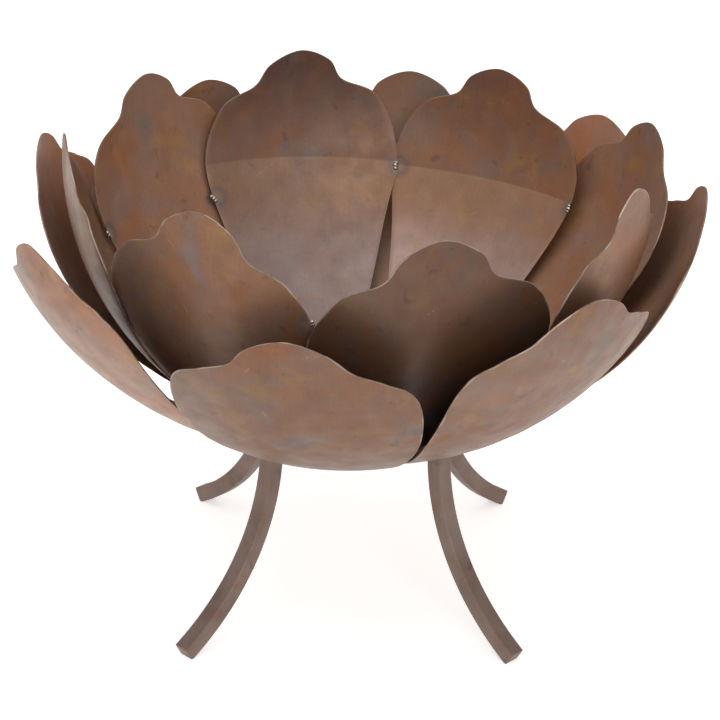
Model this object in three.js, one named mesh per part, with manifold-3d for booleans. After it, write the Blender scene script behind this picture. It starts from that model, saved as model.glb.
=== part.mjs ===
// Lotus fire bowl: two rings of cupped sheet-steel petals on four curved legs, with a lift-out grate.
// Millimetres, +Z up, and the back is +Y. The origin is on the ground under the middle of the outline.
import * as THREE from 'three';
import { mergeVertices } from 'three/addons/utils/BufferGeometryUtils.js';
import Module from 'manifold-3d';

const wasm = await Module();
wasm.setup();

const { sin, cos, tan, min, max, PI } = Math;
const DEG = PI / 180;

// ---- Driving dimensions ----------------------------------------------------------------

const SHEET = 1.5;            // thickness of the petal sheet
const GAP = 0.4;              // gap kept between two pieces that touch
const LAYER = 2.2;            // step between one petal's sheet and the next where they lap

const HUB = [-9, 4];          // the bowl's own middle; its petals reach further to one side than the other

const INNER = {               // the ring of petals around the fire
  footRadius: 80,
  footHeight: 203,
  length: 417,
  slope: [19, 67, 11, 0],     // degrees above level at the foot, and its growth up the petal
  cup: [218, 138, 0],         // radius of the hollow across the petal at the foot, and its growth
  // One half of the cutting pattern from foot to tip: [distance up, half-width]
  pattern: [[0, 20], [179, 87], [304, 115], [359, 90], [379, 49], [402, 35], [417, 0]],
};

const OUTER = {               // the ring outside it, set between the inner petals
  footRadius: 65,
  footHeight: 189,
  length: 433,
  slope: [15, 40, 25, 5],
  cup: [223, 306, -242],
  pattern: [[0, 21], [252, 112], [357, 113], [380, 82], [397, 51], [419, 36], [433, 0]],
};

// Each petal is bent by hand, so no two are alike. Azimuth is counted clockwise from the back, as seen
// from above. Lean is inwards, sway is sideways, curl is extra bend at the tip, all in degrees. Layer is
// how many sheets further out it lies than its neighbours. Long, wide and cup scale the ring's own sizes.
// Notches says how much shallower the notch is on the left and on the right of the tip, and weld how far
// up the seam with the next petal its weld is.
const INNER_PETALS = [
  { azimuth: -16, layer: -1, lean: 2, sway: 2, curl: 0, long: 0.97, wide: 0.98, cup: 1.5,
    notches: [0.06, 0], weld: 268 },
  { azimuth: 31, layer: 0, lean: 0.5, sway: 2, curl: 0, long: 0.96, wide: 1, cup: 1.6,
    notches: [0.04, -0.06], weld: 272 },
  { azimuth: 68.5, layer: 1, lean: -6.5, sway: 2.5, curl: 0, long: 1, wide: 0.94, cup: 0.77,
    notches: [0.12, 0], weld: 328 },
  { azimuth: 120, layer: 0, lean: -2, sway: -0.5, curl: 0, long: 1.04, wide: 0.87, cup: 0.72,
    notches: [0, 0.06], weld: 262 },
  { azimuth: 166.5, layer: 1, lean: 0, sway: -2, curl: 0, long: 1.02, wide: 1.06, cup: 1.02,
    notches: [0, 0.06], weld: 320 },
  { azimuth: 212.5, layer: 0, lean: 3.5, sway: 0, curl: 0, long: 0.99, wide: 1.08, cup: 1.3,
    notches: [0.06, 0], weld: 262 },
  { azimuth: 259.5, layer: 1, lean: 1, sway: 2, curl: 0, long: 1.02, wide: 1, cup: 0.86,
    notches: [0.4, 0], weld: 262 },
  { azimuth: 307, layer: 0, lean: 0.5, sway: 0.5, curl: 0, long: 0.99, wide: 1, cup: 1.01,
    notches: [-0.1, 0.06], weld: 248 },
];

const OUTER_PETALS = [
  { azimuth: 9.5, layer: -1, lean: -0.5, sway: 0.5, curl: 0, long: 0.99, wide: 1, cup: 1,
    notches: [0, 0.12] },
  { azimuth: 48.5, layer: 0, lean: -3, sway: 0.5, curl: 0.5, long: 0.99, wide: 0.99, cup: 1.01,
    notches: [0.06, 0.4] },
  { azimuth: 90.5, layer: -1, lean: -2, sway: 2, curl: 2.5, long: 1.02, wide: 1.05, cup: 1.07,
    notches: [0.06, 0] },
  { azimuth: 139, layer: 0, lean: -1, sway: 2, curl: -1, long: 1, wide: 1.09, cup: 1.01,
    notches: [0.12, 0.24] },
  { azimuth: 190, layer: 1, lean: -1.5, sway: 0, curl: -2, long: 0.97, wide: 1.04, cup: 1.08,
    notches: [0.18, 0.06] },
  { azimuth: 232, layer: 0, lean: -1, sway: 6, curl: 0.5, long: 1.02, wide: 0.86, cup: 0.9,
    notches: [0.42, 0] },
  { azimuth: 277.5, layer: -1, lean: 4.5, sway: 2, curl: -0.5, long: 1.01, wide: 0.94, cup: 1.05,
    notches: [0, 0.12] },
  { azimuth: 329.5, layer: 0, lean: -1, sway: 1.5, curl: 0.5, long: 0.99, wide: 0.97, cup: 1,
    notches: [0.3, -0.06] },
];

const NOTCH = { at: 0.92, reach: 0.045 };      // shares of the petal's length

const WELD_SIZE = { radius: 3, stretch: 1.4, halfDepth: 4.4 };

const DISH = { rimRadius: 92, flatRadius: 58, thickness: 2.5, slope: 15 };    // welded under the petal feet
const ASH_PAN = { rimRadius: 104, flatRadius: 62, thickness: 1.5, slope: 22, rimTop: 222 };

const TUBE = 18;              // the legs' square tube
const TUBE_WALL = 1.5;
const LEG_TOP = [118, 212];   // distance from the axis, height; the strap's slope trims the top
const LEG_KNEE = [[118, 128], [161, 51]];
const LEG_FOOT = [245, 6];    // the tube's lowest corner comes out below ground and is ground flat

const FOOT_CAP = 2;           // thickness of the plate that closes the tube's lower end

// The legs are bent alike and set by eye. Lean tips a leg outwards about its foot, in degrees, and reach
// moves it outwards.
const LEGS = {
  back_right: { azimuth: 43.5, lean: 3, reach: 6 },
  front_right: { azimuth: 135, lean: 3, reach: 1 },
  front_left: { azimuth: 225, lean: 0, reach: 0 },
  back_left: { azimuth: 316, lean: 1, reach: 4 },
};

const STRAP = {
  width: 26, thickness: 4, innerRadius: 20, overhang: 0.5,
  bends: [58, 96],            // where it turns up: to the dish's slope, and then to the petals' slope
  slopes: [15, 22],
};
const BOLT = { radius: 40, diameter: 8, head: 13, headHeight: 5 };
const NUT = { across: 13, height: 6, flange: 18, flangeThickness: 1.6 };

const GRATE = {
  radius: 125, height: 242, wire: 8, barWire: 6, bars: 7, pitch: 31,
  crossAt: 55, footAt: 82, footBottom: 221.5, handleSpan: 60, handleRise: 18, handleWire: 6,
};

const STEEL = { color: 0x84614a, roughness: 0.5, metalness: 0.75 };
const LEG_STEEL = { color: 0x74625a, roughness: 0.5, metalness: 0.75 };
const GRATE_STEEL = { color: 0x3b3634, roughness: 0.7, metalness: 0.6 };
const ZINC = { color: 0x9a9a96, roughness: 0.4, metalness: 0.9 };
const WELD = { color: 0x8f857c, roughness: 0.35, metalness: 0.9 };

const bowl = new THREE.Group();
bowl.position.set(...HUB, 0);

// ---- Making meshes ---------------------------------------------------------------------

function add(name, geometry, finish, parent = bowl) {
  const mesh = new THREE.Mesh(geometry, new THREE.MeshStandardMaterial(finish));
  mesh.name = name;
  parent.add(mesh);
  return mesh;
}

function solid(geometry) {
  const bare = geometry.clone();
  bare.deleteAttribute('normal');
  bare.deleteAttribute('uv');
  const merged = mergeVertices(bare, 1e-4);
  const vertProperties = new Float32Array(merged.attributes.position.array);
  const triVerts = new Uint32Array(merged.index.array);
  return new wasm.Manifold(new wasm.Mesh({ numProp: 3, vertProperties, triVerts }));
}

function geometryOf(manifold) {
  const { vertProperties, triVerts, numProp } = manifold.getMesh();
  const position = [];
  for (let i = 0; i < vertProperties.length; i += numProp) {
    position.push(vertProperties[i], vertProperties[i + 1], vertProperties[i + 2]);
  }
  const geometry = new THREE.BufferGeometry();
  geometry.setAttribute('position', new THREE.Float32BufferAttribute(position, 3));
  geometry.setIndex([...triVerts]);
  return geometry;
}

function union(geometries) {
  return geometryOf(geometries.map(solid).reduce((whole, piece) => whole.add(piece)));
}

// A cylinder along +Z from `bottom` up, at (x, y).
function post(radius, bottom, height, x, y, sides) {
  const cylinder = new THREE.CylinderGeometry(radius, radius, height, sides);
  return cylinder.rotateX(PI / 2).translate(x, y, bottom + height / 2);
}

// A closed solid from a grid of points on each face of a sheet, and a strip that joins the edges.
// point(i, j, side) gives side 1, the outer face, and side -1.
function sheetSolid(rows, columns, point) {
  const position = [];
  for (const side of [-1, 1]) {
    for (let i = 0; i <= rows; i++) {
      for (let j = 0; j <= columns; j++) position.push(...point(i, j, side));
    }
  }
  const at = (face, i, j) => (face * (rows + 1) + i) * (columns + 1) + j;
  const index = [];
  const quad = (a, b, c, d) => index.push(a, b, c, a, c, d);
  for (let i = 0; i < rows; i++) {
    for (let j = 0; j < columns; j++) {
      quad(at(1, i, j), at(1, i + 1, j), at(1, i + 1, j + 1), at(1, i, j + 1));
      quad(at(0, i, j), at(0, i, j + 1), at(0, i + 1, j + 1), at(0, i + 1, j));
    }
  }
  const edge = [];
  for (let i = 0; i < rows; i++) edge.push([i, 0]);
  for (let j = 0; j < columns; j++) edge.push([rows, j]);
  for (let i = rows; i > 0; i--) edge.push([i, columns]);
  for (let j = columns; j > 0; j--) edge.push([0, j]);
  edge.forEach(([i, j], k) => {
    const [m, n] = edge[(k + 1) % edge.length];
    quad(at(1, m, n), at(1, i, j), at(0, i, j), at(0, m, n));
  });
  const geometry = new THREE.BufferGeometry();
  geometry.setAttribute('position', new THREE.Float32BufferAttribute(position, 3));
  geometry.setIndex(index);
  return geometry;
}

// ---- Petals ----------------------------------------------------------------------------

// The pattern's smooth edge from foot to tip, as [distance up, half-width] pairs.
function edgeOf(pattern, stepsPerSpan) {
  const left = pattern.map(([up, half]) => new THREE.Vector3(up, half, 0));
  const right = pattern.slice(0, -1).reverse().map(([up, half]) => new THREE.Vector3(up, -half, 0));
  const curve = new THREE.CatmullRomCurve3([...left, ...right], false, 'centripetal');
  const steps = stepsPerSpan * (pattern.length - 1);
  const edge = [];
  for (let k = 0; k <= steps; k++) {
    const { x, y } = curve.getPoint(k / steps / 2);
    edge.push([x, max(y, 2)]);
  }
  return edge;
}

// The petal's middle line: distance from the axis, height and slope, at any distance up from the foot.
function middleLine(ring, petal) {
  const steps = 80;
  const length = ring.length * petal.long;
  const line = [];
  let r = ring.footRadius;
  let z = ring.footHeight;
  for (let k = 0; k <= steps; k++) {
    const x = k / steps;
    const [foot, first, second, third] = ring.slope;
    const lean = petal.lean * sin(min(x / 0.2, 1) * PI / 2);
    const slope = (foot + lean + (first + petal.curl) * x + second * x * x + third * x ** 3) * DEG;
    if (k > 0) {
      const last = line[k - 1].slope;
      r += (cos(last) + cos(slope)) / 2 * length / steps;
      z += (sin(last) + sin(slope)) / 2 * length / steps;
    }
    line.push({ r, z, slope });
  }
  return (up) => {
    const k = min(max(up / length * steps, 0), steps - 1e-6);
    const [a, b] = [line[Math.floor(k)], line[Math.floor(k) + 1]];
    const mix = (key) => a[key] + (b[key] - a[key]) * (k - Math.floor(k));
    return { r: mix('r'), z: mix('z'), slope: mix('slope') };
  };
}

// A point on the petal's sheet: `up` from the foot, `across` from the middle line, `out` from the
// sheet's middle, away from the fire.
function petalPoint(ring, petal, line, up, across, out) {
  const { r, z, slope } = line(up);
  const share = up / (ring.length * petal.long);
  const [cup, first, second] = ring.cup;
  const radius = (cup + first * share + second * share * share) * petal.cup;
  const outside = radius + petal.layer * LAYER + out;
  const rise = radius - outside * cos(across / radius);
  const side = outside * sin(across / radius) + up * tan(petal.sway * DEG);
  const distance = r - sin(slope) * rise;
  const azimuth = petal.azimuth * DEG;
  return [
    distance * sin(azimuth) + side * cos(azimuth),
    distance * cos(azimuth) - side * sin(azimuth),
    z + cos(slope) * rise,
  ];
}

// How much wider than the pattern a petal is, near the notch on one side of its middle line.
function notchFill(ring, petal, up, share) {
  const beyond = (up / ring.length - NOTCH.at) / NOTCH.reach;
  return 1 + petal.notches[share < 0 ? 0 : 1] * Math.exp(-(beyond ** 2));
}

function petalGeometry(ring, petal) {
  const columns = 8;
  const edge = edgeOf(ring.pattern, 2);
  const line = middleLine(ring, petal);
  return sheetSolid(edge.length - 1, columns, (i, j, side) => {
    const [up, half] = edge[i];
    const share = 2 * j / columns - 1;
    const across = share * half * petal.wide * notchFill(ring, petal, up, share);
    return petalPoint(ring, petal, line, up * petal.long, across, side * SHEET / 2);
  });
}

INNER_PETALS.forEach((petal, i) => add(`inner_petal_${i + 1}`, petalGeometry(INNER, petal), STEEL));
OUTER_PETALS.forEach((petal, i) => add(`outer_petal_${i + 1}`, petalGeometry(OUTER, petal), STEEL));

// ---- Welds -----------------------------------------------------------------------------

// The pattern's half-width at a distance up from the foot.
function halfWidth(pattern, up) {
  const edge = edgeOf(pattern, 8);
  const above = edge.findIndex(([x]) => x > up);
  const [[x0, half0], [x1, half1]] = [edge[above - 1], edge[above]];
  return half0 + (half1 - half0) * (up - x0) / (x1 - x0);
}

// One bead on each seam, on the fire side, over the edge of the petal that lies in front of the other.
function weldBead(petal, next) {
  const front = petal.layer < next.layer ? petal : next;
  const side = front === petal ? 1 : -1;
  const across = side * halfWidth(INNER.pattern, petal.weld) * front.wide;
  const inwards = SHEET / 2 + GAP + WELD_SIZE.halfDepth;
  const line = middleLine(INNER, front);
  const place = petalPoint(INNER, front, line, petal.weld * front.long, across, -inwards);
  return new THREE.SphereGeometry(WELD_SIZE.radius, 10, 6).scale(1, 1, WELD_SIZE.stretch)
    .translate(...place);
}

INNER_PETALS.forEach((petal, i) => {
  const next = INNER_PETALS[(i + 1) % INNER_PETALS.length];
  add(`weld_${i + 1}`, weldBead(petal, next), WELD);
});

// ---- Dish under the petal feet, and the ash pan over them ------------------------------

// A spun dish: a flat middle, then a cone up to the rim. `rimTop` is the height of the rim's top.
function dishGeometry({ rimRadius, flatRadius, thickness, slope }, rimTop, holes = []) {
  const rise = (rimRadius - flatRadius) * tan(slope * DEG);
  const drop = thickness / cos(slope * DEG);
  const profile = [
    [0, rimTop - rise], [0, rimTop - rise - thickness], [flatRadius, rimTop - rise - thickness],
    [rimRadius, rimTop - drop], [rimRadius, rimTop], [flatRadius, rimTop - rise], [0, rimTop - rise],
  ];
  const lathe = new THREE.LatheGeometry(profile.map(([x, y]) => new THREE.Vector2(x, y)), 48);
  return geometryOf(holes.reduce((dish, hole) => dish.subtract(solid(hole)), solid(lathe.rotateX(PI / 2))));
}

const dishRimTop = OUTER.footHeight - (LAYER + SHEET / 2 + GAP) / cos(DISH.slope * DEG)
  + (DISH.rimRadius - OUTER.footRadius) * tan(DISH.slope * DEG);
const dishFlatTop = dishRimTop - (DISH.rimRadius - DISH.flatRadius) * tan(DISH.slope * DEG);
const dishFlatUnder = dishFlatTop - DISH.thickness;
const boltHole = (x, y) => post(BOLT.diameter / 2 + GAP, 0, DISH.rimRadius * 3, x, y, 16);
const dishHoles = Object.values(LEGS).map(({ azimuth }) => (
  boltHole(BOLT.radius * sin(azimuth * DEG), BOLT.radius * cos(azimuth * DEG))));

add('base_dish', dishGeometry(DISH, dishRimTop, dishHoles), STEEL);
add('ash_pan', dishGeometry(ASH_PAN, ASH_PAN.rimTop), STEEL);

// ---- Legs, and the straps and bolts that hold them --------------------------------------

const squareOf = (side) => {
  const h = side / 2;
  return [[-h, -h], [h, -h], [h, h], [-h, h]].map(([x, y]) => new THREE.Vector2(x, y));
};

// The height of a strap's top at a distance from the axis.
function strapTop(r) {
  const [toDish, toPetals] = STRAP.slopes.map((slope) => tan(slope * DEG));
  const [first, second] = STRAP.bends.map((bend) => max(r - bend, 0));
  return dishFlatUnder - GAP + first * toDish + second * (toPetals - toDish);
}

function legGeometry({ lean, reach }) {
  const section = new THREE.Shape(squareOf(TUBE));
  section.holes.push(new THREE.Path(squareOf(TUBE - 2 * TUBE_WALL)));
  const route = [LEG_TOP, ...LEG_KNEE, LEG_FOOT]
    .map(([r, z]) => new THREE.Vector3(r - LEG_FOOT[0], 0, z - LEG_FOOT[1]));
  const extrudePath = new THREE.CubicBezierCurve3(...route);
  const tube = new THREE.ExtrudeGeometry(section, { steps: 18, bevelEnabled: false, extrudePath });
  tube.rotateY(lean * DEG).translate(LEG_FOOT[0] + reach, 0, LEG_FOOT[1]);
  const steepness = Math.atan2(LEG_KNEE[1][1] - LEG_FOOT[1], LEG_FOOT[0] - LEG_KNEE[1][0]);
  const cap = new THREE.BoxGeometry(FOOT_CAP, TUBE, TUBE).translate(-FOOT_CAP / 2, 0, 0);
  cap.rotateY(steepness + lean * DEG).translate(LEG_FOOT[0] + reach, 0, LEG_FOOT[1]);
  const ground = new THREE.BoxGeometry(200, 100, 50).translate(LEG_FOOT[0], 0, -25);
  const stations = [...STRAP.bends, 200];
  const under = stations.map((r) => [r, strapTop(r) - STRAP.thickness - GAP]);
  const above = new THREE.Shape([...under, [200, 300], [stations[0], 300]]
    .map(([x, y]) => new THREE.Vector2(x, y)));
  const trim = new THREE.ExtrudeGeometry(above, { depth: 100, bevelEnabled: false });
  trim.rotateX(PI / 2).translate(0, 50, 0);
  return geometryOf(solid(tube).add(solid(cap)).subtract(solid(ground)).subtract(solid(trim)));
}

// A flat bar from under the dish out to the leg's top, bent twice to follow the bowl.
function strapGeometry({ lean, reach }) {
  const { innerRadius, bends, thickness, width, overhang } = STRAP;
  const legTop = LEG_TOP[0] + reach + (LEG_TOP[1] - LEG_FOOT[1]) * sin(lean * DEG);
  const stations = [innerRadius, ...bends, legTop + TUBE / 2 + overhang];
  const under = stations.map((r) => [r, strapTop(r) - thickness]);
  const over = stations.map((r) => [r, strapTop(r)]).reverse();
  const side = new THREE.Shape([...under, ...over].map(([x, y]) => new THREE.Vector2(x, y)));
  const bar = new THREE.ExtrudeGeometry(side, { depth: width, bevelEnabled: false });
  bar.rotateX(PI / 2).translate(0, width / 2, 0);
  return geometryOf(solid(bar).subtract(solid(boltHole(BOLT.radius, 0))));
}

// The bolt goes down through the dish and the strap, with its head inside the dish.
const headUnder = dishFlatTop + GAP;
const nutTop = dishFlatUnder - 2 * GAP - STRAP.thickness;
const nutUnder = nutTop - NUT.flangeThickness - NUT.height;

function boltGeometry() {
  const shankEnd = nutUnder - 2;
  const head = post(BOLT.head / 2, headUnder, BOLT.headHeight, BOLT.radius, 0, 6);
  const shank = post(BOLT.diameter / 2, shankEnd, headUnder + 1 - shankEnd, BOLT.radius, 0, 16);
  return union([head, shank]);
}

function nutGeometry() {
  const { across, height, flange, flangeThickness } = NUT;
  const round = post(flange / 2, nutTop - flangeThickness, flangeThickness, BOLT.radius, 0, 24);
  const hexagon = post(across / 2, nutUnder, height + flangeThickness / 2, BOLT.radius, 0, 6);
  return geometryOf(solid(round).add(solid(hexagon)).subtract(solid(boltHole(BOLT.radius, 0))));
}

for (const [corner, leg] of Object.entries(LEGS)) {
  const side = new THREE.Group();
  side.rotation.z = PI / 2 - leg.azimuth * DEG;
  bowl.add(side);
  add(`leg_${corner}`, legGeometry(leg), LEG_STEEL, side);
  add(`strap_${corner}`, strapGeometry(leg), LEG_STEEL, side);
  add(`bolt_${corner}`, boltGeometry(), ZINC, side);
  add(`flange_nut_${corner}`, nutGeometry(), ZINC, side);
}

// ---- Grate -----------------------------------------------------------------------------

const rod = (radius, length) => new THREE.CylinderGeometry(radius, radius, length, 10);
const barHeight = GRATE.height - GRATE.barWire / 2;
const crossHeight = barHeight - (GRATE.wire + GRATE.barWire) / 2 - GAP;

const ringRod = new THREE.TorusGeometry(GRATE.radius, GRATE.wire / 2, 8, 40).translate(0, 0, barHeight);
add('grate_ring', ringRod, GRATE_STEEL);

for (let i = 0; i < GRATE.bars; i++) {
  const x = (i - (GRATE.bars - 1) / 2) * GRATE.pitch;
  const inside = GRATE.radius - GRATE.wire / 2 - GAP;
  const half = Math.sqrt(inside ** 2 - (Math.abs(x) + GRATE.barWire / 2) ** 2);
  add(`grate_bar_${i + 1}`, rod(GRATE.barWire / 2, 2 * half).translate(x, 0, barHeight), GRATE_STEEL);
}

for (const [where, side] of [['front', -1], ['back', 1]]) {
  const half = Math.sqrt(GRATE.radius ** 2 - GRATE.crossAt ** 2);
  const bar = rod(GRATE.barWire / 2, 2 * half).rotateZ(PI / 2);
  add(`grate_cross_bar_${where}`, bar.translate(0, side * GRATE.crossAt, crossHeight), GRATE_STEEL);
}

const footHeight = crossHeight - GRATE.barWire / 2 - GAP - GRATE.footBottom;
[[-1, -1], [1, -1], [1, 1], [-1, 1]].forEach(([right, back], i) => {
  const [x, y] = [right * GRATE.footAt, back * GRATE.crossAt];
  const foot = post(GRATE.barWire / 2, GRATE.footBottom, footHeight, x, y, 12);
  add(`grate_foot_${i + 1}`, foot, GRATE_STEEL);
});

// A handle is a rod bent into a low arch that stands on the ring.
function handleGeometry(side) {
  const { handleSpan: span, handleRise: rise, handleWire } = GRATE;
  const x = side * Math.sqrt(GRATE.radius ** 2 - (span / 2) ** 2);
  const bottom = barHeight + GRATE.wire / 2 + GAP;
  const route = [[-0.5, 0], [-0.48, 0.6], [-0.38, 0.92], [0, 1], [0.38, 0.92], [0.48, 0.6], [0.5, 0]];
  const points = route.map(([along, up]) => new THREE.Vector3(x, along * span, bottom + up * rise));
  const circle = new THREE.Shape().absarc(0, 0, handleWire / 2, 0, 2 * PI);
  const extrudePath = new THREE.CatmullRomCurve3(points);
  const sweep = { steps: 16, curveSegments: 4, bevelEnabled: false, extrudePath };
  return new THREE.ExtrudeGeometry(circle, sweep);
}

add('grate_handle_left', handleGeometry(-1), GRATE_STEEL);
add('grate_handle_right', handleGeometry(1), GRATE_STEEL);

export default bowl;
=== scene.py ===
import math

import bpy
from mathutils import Matrix, Vector, noise


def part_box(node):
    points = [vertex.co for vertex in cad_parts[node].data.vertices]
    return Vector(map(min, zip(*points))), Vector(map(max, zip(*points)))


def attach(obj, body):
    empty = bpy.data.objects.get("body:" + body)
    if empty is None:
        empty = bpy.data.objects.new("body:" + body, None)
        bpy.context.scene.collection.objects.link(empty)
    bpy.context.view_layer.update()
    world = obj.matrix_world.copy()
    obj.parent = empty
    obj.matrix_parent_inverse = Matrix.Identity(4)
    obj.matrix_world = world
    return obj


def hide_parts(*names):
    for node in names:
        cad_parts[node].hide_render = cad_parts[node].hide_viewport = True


# A lotus fire bowl: two rings of cupped sheet-steel petals on four bent legs, with a lift-out grate.
# Sizes are millimetres, turned into metres where a mesh or a place is made. The back is +Y.

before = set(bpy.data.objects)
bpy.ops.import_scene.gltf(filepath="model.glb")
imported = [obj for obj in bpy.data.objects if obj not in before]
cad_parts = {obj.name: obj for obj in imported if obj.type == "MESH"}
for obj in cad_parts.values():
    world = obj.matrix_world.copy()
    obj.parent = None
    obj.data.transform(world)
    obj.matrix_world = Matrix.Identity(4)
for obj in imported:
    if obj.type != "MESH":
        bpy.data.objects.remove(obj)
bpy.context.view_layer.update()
bpy.ops.object.select_all(action="DESELECT")

MM = 0.001
BOWL = "bowl"
GRATE = "grate"


# ---- Sizes ------------------------------------------------------------------------------

def middle_of(node):
    """The middle of a node's box, in metres."""
    low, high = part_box(node)
    return (low + high) / 2


HUB = Vector((middle_of("grate_ring").x, middle_of("grate_ring").y, 0))    # the bowl's own middle

SHEET = 1.5           # thickness of the petal sheet
LAYER = 2.2           # step between one petal's sheet and the next where they lap

INNER = {             # the ring of petals around the fire
    "foot_radius": 80,
    "foot_height": 203,
    "length": 417,
    "slope": (19, 67, 11, 0),      # degrees above level at the foot, and its growth up the petal
    "cup": (218, 138, 0),          # radius of the hollow across the petal at the foot, and its growth
    # One half of the cutting pattern from foot to tip: distance up, half-width
    "pattern": ((0, 20), (179, 87), (304, 115), (359, 90), (379, 49), (402, 35), (417, 0)),
}
OUTER = {             # the ring outside it, set between the inner petals
    "foot_radius": 65,
    "foot_height": 189,
    "length": 433,
    "slope": (15, 40, 25, 5),
    "cup": (223, 306, -242),
    "pattern": ((0, 21), (252, 112), (357, 113), (380, 82), (397, 51), (419, 36), (433, 0)),
}
NOTCH_AT = 0.92       # where the notches beside the tip are, and how far they reach, in petal lengths
NOTCH_REACH = 0.045

# Each petal is bent by hand, so no two are alike. Azimuth is counted clockwise from the back, as seen
# from above. Layer is how many sheets further out it lies than its neighbours. Lean is inwards, sway
# is sideways and curl is extra bend at the tip, in degrees. Long, wide and cup scale the ring's sizes.
# Left and right say how much shallower those notches are. Tone scales the colour of the skin as painted
# light and shade: it is set petal by petal to how lit or shaded each one is in this view. Worn says how
# much of the rim is rubbed bright.
PETAL_WORDS = ("azimuth", "layer", "lean", "sway", "curl", "long", "wide", "cup",
               "left", "right", "painted_light_tone", "worn")
INNER_PETALS = (
    (-16, -1, 2, 2, 0, 0.97, 0.98, 1.5, 0.06, 0, 1.02, 0.2),
    (31, 0, 0.5, 2, 0, 0.96, 1, 1.6, 0.04, -0.06, 1.36, 0.2),
    (68.5, 1, -6.5, 2.5, 0, 1, 0.94, 0.77, 0.12, 0, 1.46, 0.3),
    (120, 0, -2, -0.5, 0, 1.04, 0.87, 0.72, 0, 0.06, 0.98, 1),
    (166.5, 1, 0, -2, 0, 1.02, 1.06, 1.02, 0, 0.06, 0.5, 0.8),
    (212.5, 0, 3.5, 0, 0, 0.99, 1.08, 1.3, 0.06, 0, 0.92, 1),
    (259.5, 1, 1, 2, 0, 1.02, 1, 0.86, 0.4, 0, 1.0, 0.5),
    (307, 0, 0.5, 0.5, 0, 0.99, 1, 1.01, -0.1, 0.06, 1.54, 0.2),
)
OUTER_PETALS = (
    (9.5, -1, -0.5, 0.5, 0, 0.99, 1, 1, 0, 0.12, 1.15, 0.1),
    (48.5, 0, -3, 0.5, 0.5, 0.99, 0.99, 1.01, 0.06, 0.4, 2.3, 0.1),
    (90.5, -1, -2, 2, 2.5, 1.02, 1.05, 1.07, 0.06, 0, 1.45, 0.4),
    (139, 0, -1, 2, -1, 1, 1.09, 1.01, 0.12, 0.24, 0.82, 1),
    (190, 1, -1.5, 0, -2, 0.97, 1.04, 1.08, 0.18, 0.06, 0.73, 0.8),
    (232, 0, -1, 6, 0.5, 1.02, 0.86, 0.9, 0.42, 0, 1.17, 0.7),
    (277.5, -1, 4.5, 2, -0.5, 1.01, 0.94, 1.05, 0, 0.12, 1.8, 0.3),
    (329.5, 0, -1, 1.5, 0.5, 0.99, 0.97, 1, 0.3, -0.06, 1.25, 0.1),
)
# How far up each seam its weld is, and how far up two of the petals are creased across: on the left
# edge, at the middle and on the right edge
WELDS = (268, 272, 328, 262, 320, 262, 262, 248)
HALO_SHIFT = 4        # how far to one side of its weld each ring of heat lies
CREASES = {1: (289, 288, 272), 2: (276, 284, 279)}
# How far smoke has greyed the tips of two inner petals, and how dark the feet of the two at the front
# are painted: painted shade, for the gap between them and the outer petals
SMOKED_TIPS = {1: 0.42, 2: 0.25}
SHADED_FEET = {5: 1, 6: 0.5}

SHEET_WAVER = 0.9     # how far off its curves a hand-rolled sheet lies, and the length of its waves
WAVER_LENGTH = 70
CREASE_PULL = 40      # how far from a crease the rows of faces are still drawn towards it
CREASE_BULGE = 1.1    # how far a crease stands out, and how far up and down from it that reaches
BULGE_REACH = 30

DISH = {"rim_radius": 92, "flat_radius": 58, "thickness": 2.5, "slope": 15}
ASH_PAN = {"rim_radius": 104, "flat_radius": 62, "thickness": 1.5, "slope": 22}

TUBE = 18             # the legs' square tube
TUBE_WALL = 1.5
TUBE_CORNER = 1.6     # radius that rolling leaves on the tube's corners
LEG_TOP = (118, 212)
LEG_KNEE = ((118, 128), (161, 51))
LEG_FOOT = (245, 6)
LEG_WORDS = ("azimuth", "lean", "reach")     # lean in degrees outwards about the foot, reach outwards
LEGS = {
    "back_right": (43.5, 3, 6),
    "front_right": (135, 3, 1),
    "front_left": (225, 0, 0),
    "back_left": (316, 1, 4),
}
STRAP = {"width": 26, "thickness": 4, "inner_radius": 20, "overhang": 0.5}
STRAP_BENDS = (58, 96)       # where it turns up: to the dish's slope, and then to the petals' slope
STRAP_SLOPES = (15, 22)
BOLT_RADIUS = 40
STRAP_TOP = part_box("strap_front_left")[0].z / MM + STRAP["thickness"]    # under the dish's flat
HEAD_HEIGHT = 5       # of the bolts' hexagon heads
HEAD_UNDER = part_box("bolt_front_left")[1].z / MM - HEAD_HEIGHT
HEX_RADIUS = 6.5      # across the corners of the bolts' heads and the nuts
SHANK_RADIUS = 4
HALF_PITCH = 0.6      # half the distance between two threads
THREAD_RINGS = 14
FLANGE_RADIUS = 9
GRATE_BARS = 7
GRATE_FEET = 4
GAP = 0.4             # gap kept between two pieces that touch


# ---- Modelling by hand ------------------------------------------------------------------

def piece():
    return bpy.context.view_layer.objects.active


def name_piece(name, body, slot, *nodes):
    """Names the active piece, and says what it moves with and stands for. Slot, what it is made of, is not
    used.
    """
    made = piece()
    made.name = name
    made.data.name = name
    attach(made, body)
    if nodes:
        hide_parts(*nodes)
    made.select_set(False)
    return made


def modify(kind, **settings):
    """Puts one modifier on the active piece and applies it."""
    modifier = piece().modifiers.new(kind, kind)
    for key, value in settings.items():
        setattr(modifier, key, value)
    bpy.ops.object.modifier_apply(modifier=modifier.name)


def pick(kind, test):
    """Selects the active piece's faces, edges or vertices that pass a test, and goes into edit mode."""
    bpy.ops.object.mode_set(mode="EDIT")
    bpy.ops.mesh.select_mode(type=kind)
    bpy.ops.mesh.select_all(action="DESELECT")
    bpy.ops.object.mode_set(mode="OBJECT")
    mesh = piece().data
    if kind == "FACE":
        for face in mesh.polygons:
            face.select = test(face.center, face.normal)
    elif kind == "EDGE":
        for edge in mesh.edges:
            start, end = (mesh.vertices[i].co for i in edge.vertices)
            edge.select = test((start + end) / 2, (end - start).normalized())
    else:
        for vertex in mesh.vertices:
            vertex.select = test(vertex.co, vertex.normal)
    bpy.ops.object.mode_set(mode="EDIT")


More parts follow.
